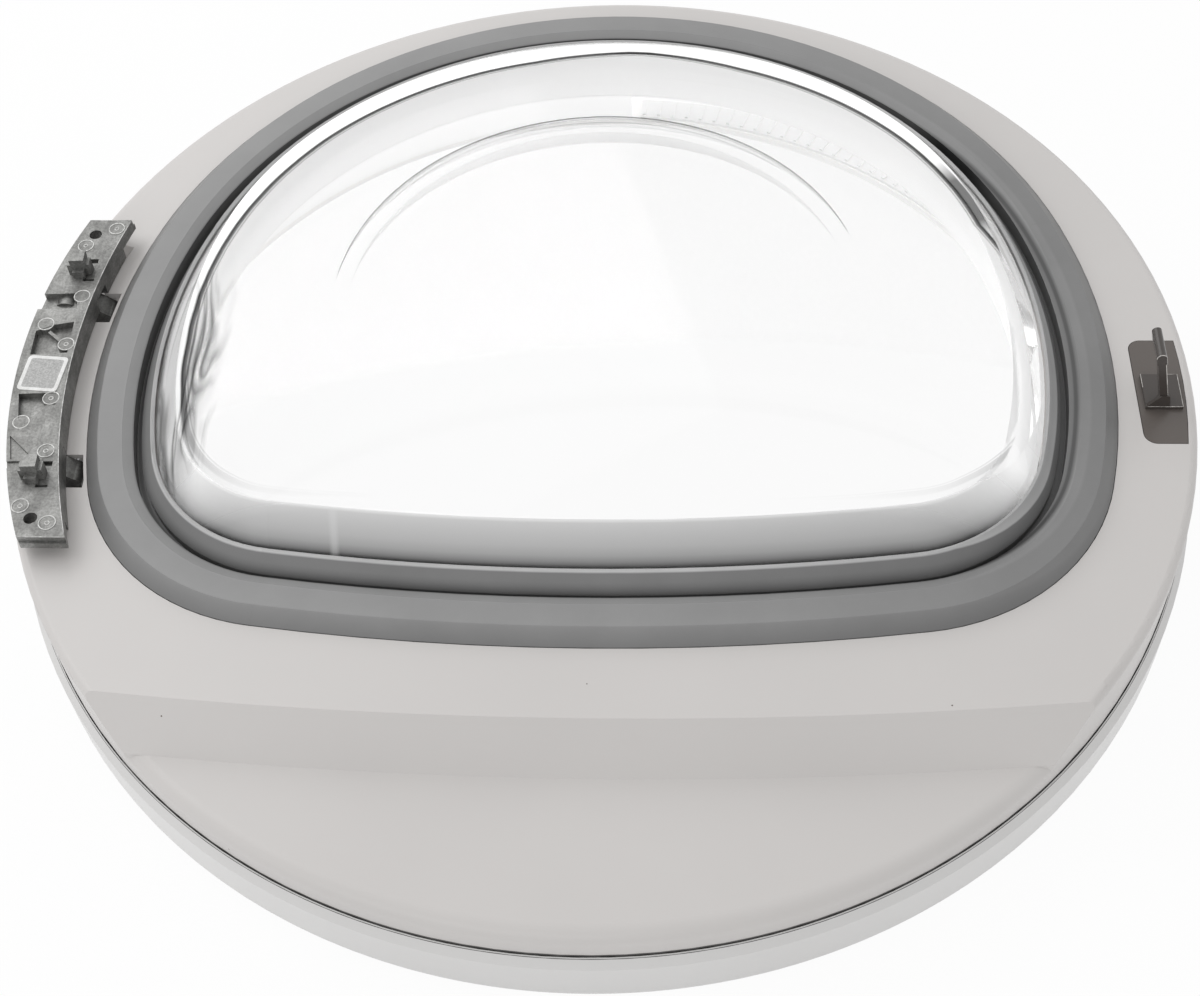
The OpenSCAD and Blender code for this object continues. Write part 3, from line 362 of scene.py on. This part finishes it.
def seam_shadow(m, base, inner, low, high):
    """Darkens the narrow gap between the ring and the frame."""
    place = m.new("ShaderNodeVectorMath", operation="MULTIPLY")
    m.link(m.at, place.inputs[0])
    place.inputs[1].default_value = (1, 1, 0)
    length = m.new("ShaderNodeVectorMath", operation="LENGTH")
    m.link(place.outputs[0], length.inputs[0])
    radius = length.outputs["Value"]
    normal = m.axis(m.new("ShaderNodeTexCoord").outputs["Normal"], "Z")
    wall = m.calc("LESS_THAN", m.calc("ABSOLUTE", normal), 0.6)
    band = m.calc("LESS_THAN", m.calc("ABSOLUTE", m.calc("SUBTRACT", radius, inner)), 0.0006)
    depth = m.calc("MULTIPLY", m.calc("GREATER_THAN", m.axis(m.at, "Z"), low),
                   m.calc("LESS_THAN", m.axis(m.at, "Z"), high))
    dark = m.calc("MULTIPLY", m.calc("MULTIPLY", band, wall), depth)
    return m.mix(base, srgb(96, 95, 94), dark)


def cast_zinc(name, dark, light):
    m = Mat(name, srgb(150, 150, 148), 0.42, 0.7)
    broad = m.ramp(m.noise(70, 5, 0.6), [(0.3, srgb(dark, dark, dark - 2)), (0.7, srgb(light, light, light - 2))])
    fine = m.ramp(m.noise(900, 4, 0.75), [(0.35, (0.7, 0.7, 0.7)), (0.62, (1.16, 1.16, 1.16))])
    drag = m.ramp(m.noise(160, 5, 0.7, (1.6, 0.35, 1)), [(0.42, (0.82, 0.82, 0.82)), (0.55, (1.05, 1.05, 1.05))])
    tone = m.mix(m.mix(broad, fine, 1.0, "MULTIPLY"), drag, 1.0, "MULTIPLY")
    m.link(tone, m.bsdf.inputs["Base Color"])
    m.link(m.map(m.noise(240, 5), 0.3, 0.58), m.bsdf.inputs["Roughness"])
    grain = m.bump(m.noise(1300, 5, 0.7), 0.3, 0.00008)
    m.bump(m.noise(220, 6, 0.65), 0.35, 0.0002, below=grain)
    return m


def put(material, *names):
    for name in names:
        data = nodes[name].data
        data.materials.clear()
        data.materials.append(material.mat)


def make_materials():
    ring = plastic("ring_gloss", srgb(214, 213, 212), 0.28, uneven=0.01)
    frame_paint = plastic("frame_satin", srgb(205, 202, 200), 0.4, dust=srgb(90, 80, 72))
    for m, radius, low, high in ((ring, 0.2453, 0.015, 0.0278), (frame_paint, 0.2449, 0.015, 0.0292)):
        base = m.bsdf.inputs["Base Color"].links[0].from_socket
        m.link(seam_shadow(m, base, radius, low, high), m.bsdf.inputs["Base Color"])
    # painted glow on the ring's inner mouth edge, lifting its shade though it is no lamp
    length = ring.new("ShaderNodeVectorMath", operation="LENGTH")
    ring.link(ring.at, length.inputs[0])
    ring.set("Emission Color", (1, 1, 1, 1))
    ring.link(ring.map(length.outputs["Value"], 0.34, 0, 0.214, 0.221), ring.bsdf.inputs["Emission Strength"])
    put(ring, "outer_ring")
    put(frame_paint, "inner_frame")
    grip = plastic("grip_gloss", srgb(232, 232, 232), 0.35)
    surround = plastic("surround_satin", srgb(248, 248, 248), 0.45)
    # painted glow: the grip and the surround give off light to lift the shade behind the bowl, though they are no
    # lamps
    for m, glow in ((grip, 0.14), (surround, 0.3)):
        m.set("Emission Color", (1, 1, 1, 1))
        m.set("Emission Strength", glow)
    put(grip, "handle_grip")
    put(surround, "window_surround")
    put(rubber(), "door_seal", "bowl_gasket")
    zinc = cast_zinc("cast_zinc", 106, 146)
    put(zinc, "hinge_plate")
    # the arms take a darker copy of the zinc: painted shade of the notch they sit in
    put(cast_zinc("arm_zinc_shaded", 74, 112), "hinge_arm_upper", "hinge_arm_lower")
    steel = Mat("plated_steel", srgb(172, 174, 176), 0.3, 1.0)
    steel.bump(steel.noise(1500, 3), 0.2, 0.00003)
    put(steel, "hinge_pin_upper", "hinge_pin_lower", "hinge_bracket", "bracket_screws",
        "arm_screws", "surround_screws", "latch_stiffener", "latch_screws")
    put(plastic("bush_nylon", srgb(228, 222, 208), 0.5), "hinge_bush_upper", "hinge_bush_lower")
    put(plastic("label_base", srgb(226, 226, 224), 0.6), "hinge_label")
    base = plastic("latch_taupe", srgb(92, 86, 82), 0.36, drift=0.05)
    put(base, "latch_base")
    put(plastic("hook_taupe", srgb(66, 61, 58), 0.22, drift=0.15), "latch_hook")
    put(glass(), "window_bowl")
    return zinc


# Pieces on the hinge casting: ejector rings and a bare label

PLATE_TOP = 0.072
EJECTORS = ((-216.3, 73.4, 0), (-228.1, 62.9, 0), (-223.5, 32.6, 1), (-235.7, 16.3, 1),
            (-224.6, 4.9, 1), (-224.5, -25.0, 1), (-234.1, -37.8, 1), (-220.4, -52.9, 0),
            (-224.6, -80.7, 0), (-212.0, -88.9, 0))


def piece(name, mesh, material, body="hinge_leaf"):
    item = bpy.data.objects.new(name, mesh)
    bpy.context.scene.collection.objects.link(item)
    mesh.materials.append(material.mat)
    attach(item, body)
    return item


def lathe(bm, centre, profile, steps=40):
    """Turn a closed profile of (radius, z) points about a vertical axis."""
    rings = []
    for k in range(steps):
        a = math.tau * k / steps
        rings.append([bm.verts.new((centre[0] + r * math.cos(a), centre[1] + r * math.sin(a), z))
                      for r, z in profile])
    for k in range(steps):
        one, two = rings[k], rings[(k + 1) % steps]
        for j in range(len(profile)):
            i = (j + 1) % len(profile)
            bm.faces.new((one[j], two[j], two[i], one[i]))


def make_ejectors(zinc):
    bm = bmesh.new()
    for x, y, sunk in EJECTORS:
        z = PLATE_TOP - (0.0002 if sunk else 0)
        lathe(bm, (x / 1000, y / 1000), [(0.0036, z - 0.0001), (0.00358, z + 0.00022), (0.00335, z + 0.0003),
                                         (0.0031, z + 0.0002), (0.00302, z - 0.0001)])
        lathe(bm, (x / 1000, y / 1000), [(0.0011, z - 0.0001), (0.00108, z + 0.0001), (0.0007, z + 0.00012),
                                         (0.00065, z - 0.0001)], 24)
    bmesh.ops.recalc_face_normals(bm, faces=bm.faces)
    mesh = bpy.data.meshes.new("ejector_rings")
    bm.to_mesh(mesh)
    for p in mesh.polygons:
        p.use_smooth = True
    bright = Mat("zinc_rim", srgb(196, 196, 194), 0.35, 0.6)
    bright.link(bright.ramp(bright.noise(700, 4, 0.7), [(0.35, srgb(165, 165, 163)), (0.65, srgb(214, 214, 212))]),
                bright.bsdf.inputs["Base Color"])
    item = piece("ejector_rings", mesh, bright)


def beads(name, lines, radius, material, body, sides=6):
    """Fine rounded beads along edges: each line is a list of points in millimetres."""
    bm = bmesh.new()
    for points in lines:
        path = [Vector(p) / 1000 for p in points]
        loops = []
        for k, p in enumerate(path):
            ahead = (path[min(k + 1, len(path) - 1)] - path[max(k - 1, 0)]).normalized()
            side = ahead.cross(Vector((0.31, 0.17, 0.93))).normalized()
            up = ahead.cross(side)
            loops.append([bm.verts.new(p + radius / 1000 * (math.cos(math.tau * j / sides) * side
                                                            + math.sin(math.tau * j / sides) * up))
                          for j in range(sides)])
        for one, two in zip(loops, loops[1:]):
            for j in range(sides):
                i = (j + 1) % sides
                bm.faces.new((one[j], one[i], two[i], two[j]))
        bm.faces.new(list(reversed(loops[0])))
        bm.faces.new(loops[-1])
    bmesh.ops.recalc_face_normals(bm, faces=bm.faces)
    mesh = bpy.data.meshes.new(name)
    bm.to_mesh(mesh)
    for p in mesh.polygons:
        p.use_smooth = True
    item = piece(name, mesh, material, body)


def make_hinge_edges():
    """Bright beads along the casting's edges, painted highlights: its inner arc and its level ends."""
    z = PLATE_TOP * 1000 - 0.1
    low_y, high_y = -95.7, 78.7
    inner = [(75.44 - 296 * math.cos(math.asin((y - 2.885) / 296)), y, z)
             for y in [low_y + k * (high_y - low_y) / 48 for k in range(49)]]
    ends = [[(inner[0][0], low_y, z), (-math.sqrt(242.3 ** 2 - low_y ** 2), low_y, z)],
            [(inner[-1][0], high_y, z), (-math.sqrt(242.3 ** 2 - high_y ** 2), high_y, z)]]
    # painted highlight along the casting's edges
    bright = Mat("zinc_edge_highlight", srgb(198, 198, 196), 0.3, 0.65)
    bright.link(bright.ramp(bright.noise(260, 5, 0.8), [(0.35, srgb(128, 128, 126)), (0.6, srgb(205, 205, 203))]),
                bright.bsdf.inputs["Base Color"])
    beads("hinge_edges", [inner] + ends, 0.22, bright, "hinge_leaf")


def make_latch_edges():
    """Light beads along the latch's edges, painted highlights: the foot's rim, the stem, the head and a line on the
    plate.
    """
    lean = math.radians(13)
    root = (230.8, -19.3, 61.1)

    def on_blade(x, y, z):
        return (root[0] + x * math.cos(lean) - z * math.sin(lean), root[1] + y,
                root[2] + x * math.sin(lean) + z * math.cos(lean))

    x0, x1, y0, y1, z = 223.4, 238.2, -19.25, -1.85, 61.6
    foot = [(x1 - 7, y0, z), (x1, y0, z), (x1, y1, z), (x1 - 4.6, y1, z)]
    left = [(x0, y1 + 0.1, z), (x0, y1 - 7, z)]
    head = [on_blade(1.95 * math.cos(a), 0.05, 30.45 + 1.95 * math.sin(a))
            for a in [math.pi * k / 12 for k in range(13)]]
    lines = [foot, left, [on_blade(1.5, 0.7, 2), on_blade(1.5, 0.7, 26.4)],
             [on_blade(1.9, 0.1, 26.6), on_blade(1.9, 0.1, 30.4)] + head,
             [on_blade(1.9, 0.2, 29.2), on_blade(1.9, 14.9, 29.2)],
             [(x0 + 0.5, y0, 61.7), (x1 - 6, y0, 61.7)]]
    # painted highlight along the latch's edges
    light = Mat("latch_edge", srgb(190, 186, 182), 0.25)
    light.link(light.ramp(light.noise(300, 4, 0.7), [(0.35, srgb(150, 146, 142)), (0.65, srgb(226, 222, 218))]),
               light.bsdf.inputs["Base Color"])
    beads("latch_edges", lines, 0.16, light, "door")


def rounded(w, l, r, steps=6):
    """Points of a rounded rectangle about the origin."""
    points = []
    for cx, cy, start in ((w / 2 - r, l / 2 - r, 0), (r - w / 2, l / 2 - r, 90),
                          (r - w / 2, r - l / 2, 180), (w / 2 - r, r - l / 2, 270)):
        for k in range(steps + 1):
            a = math.radians(start + 90 * k / steps)
            points.append((cx + r * math.cos(a), cy + r * math.sin(a)))
    return points


def make_label():
    """A bare label with rounded corners, a raised border and a plain matt field."""
    turn = math.radians(182.19)
    spin = turn + math.radians(-7)
    at = Vector((0.2311 * math.cos(turn) - 0.0029 * math.sin(turn),
                 0.2311 * math.sin(turn) + 0.0029 * math.cos(turn), 0))
    place = Matrix.Translation(at) @ Matrix.Rotation(spin, 4, "Z")
    bm = bmesh.new()
    loops = []
    for inset, z in ((0, 0), (0, 0.00022), (0.00012, 0.0003), (0.0014, 0.0003), (0.0016, 0.00025)):
        ring = rounded(0.0173 - 2 * inset, 0.019 - 2 * inset, 0.0019 - 0.6 * inset)
        loops.append([bm.verts.new(place @ Vector((x, y, PLATE_TOP + z))) for x, y in ring])
    for one, two in zip(loops, loops[1:]):
        for k in range(len(one)):
            j = (k + 1) % len(one)
            bm.faces.new((one[k], one[j], two[j], two[k]))
    bm.faces.new(loops[-1])
    bm.faces.new(list(reversed(loops[0])))
    bmesh.ops.recalc_face_normals(bm, faces=bm.faces)
    mesh = bpy.data.meshes.new("bare_label")
    bm.to_mesh(mesh)
    paper = Mat("label_paper", srgb(232, 232, 230), 0.5)
    wear = paper.ramp(paper.noise(420, 6, 0.7), [(0.35, srgb(214, 214, 212)), (0.6, srgb(236, 236, 235))])
    paper.link(wear, paper.bsdf.inputs["Base Color"])
    paper.bump(paper.noise(1600, 4), 0.2, 0.00004)
    item = piece("bare_label", mesh, paper)
    field = Mat("label_field", srgb(176, 176, 175), 0.6)
    field.link(field.ramp(field.noise(1500, 5, 0.7), [(0.35, srgb(150, 150, 149)), (0.65, srgb(196, 196, 195))]),
               field.bsdf.inputs["Base Color"])
    mesh.materials.append(field.mat)
    mesh.polygons[len(mesh.polygons) - 2].material_index = 1
    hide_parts("hinge_label")


def make_floor():
    size = 6
    mesh = bpy.data.meshes.new("floor")
    mesh.from_pydata([(-size, -size, 0), (size, -size, 0), (size, size, 0), (-size, size, 0)],
                     [], [(0, 1, 2, 3)])
    floor = bpy.data.objects.new("floor", mesh)
    bpy.context.scene.collection.objects.link(floor)
    floor.location.z = -0.0005
    m = Mat("floor_white", (0.9, 0.9, 0.9, 1), 0.9)
    out = m.tree.nodes["Material Output"]
    glow = m.new("ShaderNodeEmission")
    glow.inputs["Strength"].default_value = 1.0
    rays = m.new("ShaderNodeLightPath")
    either = m.new("ShaderNodeMath", operation="MAXIMUM")
    m.link(rays.outputs["Is Camera Ray"], either.inputs[0])
    m.link(rays.outputs["Is Glossy Ray"], either.inputs[1])
    any_ray = m.new("ShaderNodeMath", operation="MAXIMUM")
    m.link(either.outputs[0], any_ray.inputs[0])
    m.link(rays.outputs["Is Transmission Ray"], any_ray.inputs[1])
    part = m.new("ShaderNodeMath", operation="MULTIPLY")
    part.inputs[1].default_value = 0.94
    m.link(any_ray.outputs[0], part.inputs[0])
    both = m.new("ShaderNodeMixShader")
    m.link(part.outputs[0], both.inputs["Fac"])
    m.link(m.bsdf.outputs[0], both.inputs[1])
    m.link(glow.outputs[0], both.inputs[2])
    m.link(both.outputs[0], out.inputs["Surface"])
    mesh.materials.append(m.mat)


def make_light():
    world = bpy.data.worlds.new("studio")
    bpy.context.scene.world = world
    world.use_nodes = True
    tree = world.node_tree
    back = tree.nodes["Background"]
    back.inputs["Color"].default_value = (1, 1, 1, 1)
    back.inputs["Strength"].default_value = 0.7
    plain = tree.nodes.new("ShaderNodeBackground")
    plain.inputs["Color"].default_value = (1, 1, 1, 1)
    rays = tree.nodes.new("ShaderNodeLightPath")
    seen = rays.outputs["Is Camera Ray"]
    for kind in ("Is Glossy Ray", "Is Transmission Ray"):
        either = tree.nodes.new("ShaderNodeMath")
        either.operation = "MAXIMUM"
        tree.links.new(seen, either.inputs[0])
        tree.links.new(rays.outputs[kind], either.inputs[1])
        seen = either.outputs[0]
    mix = tree.nodes.new("ShaderNodeMixShader")
    tree.links.new(seen, mix.inputs["Fac"])
    tree.links.new(back.outputs[0], mix.inputs[1])
    tree.links.new(plain.outputs[0], mix.inputs[2])
    tree.links.new(mix.outputs[0], tree.nodes["World Output"].inputs["Surface"])

    def area(name, at, to, size, power):
        data = bpy.data.lights.new(name, "AREA")
        data.shape = "RECTANGLE"
        data.size, data.size_y = size
        data.energy = power
        lamp = bpy.data.objects.new(name, data)
        lamp.location = at
        lamp.rotation_euler = (Vector(to) - Vector(at)).to_track_quat("-Z", "Y").to_euler()
        bpy.context.scene.collection.objects.link(lamp)

    area("key", (-1.2, 0.3, 1.6), (0, 0, 0), (1.2, 1.2), 6)
    area("back", (-0.75, 1.15, 1.2), (0, 0, 0), (1.5, 1.1), 7)
    area("fill", (-0.6, -1.7, 0.8), (0, 0, 0.05), (1.6, 0.8), 3.8)


make_camera()
make_floor()
make_light()
casting = make_materials()
make_ejectors(casting)
make_hinge_edges()
make_label()
make_latch_edges()
bpy.context.scene.view_settings.view_transform = "Standard"
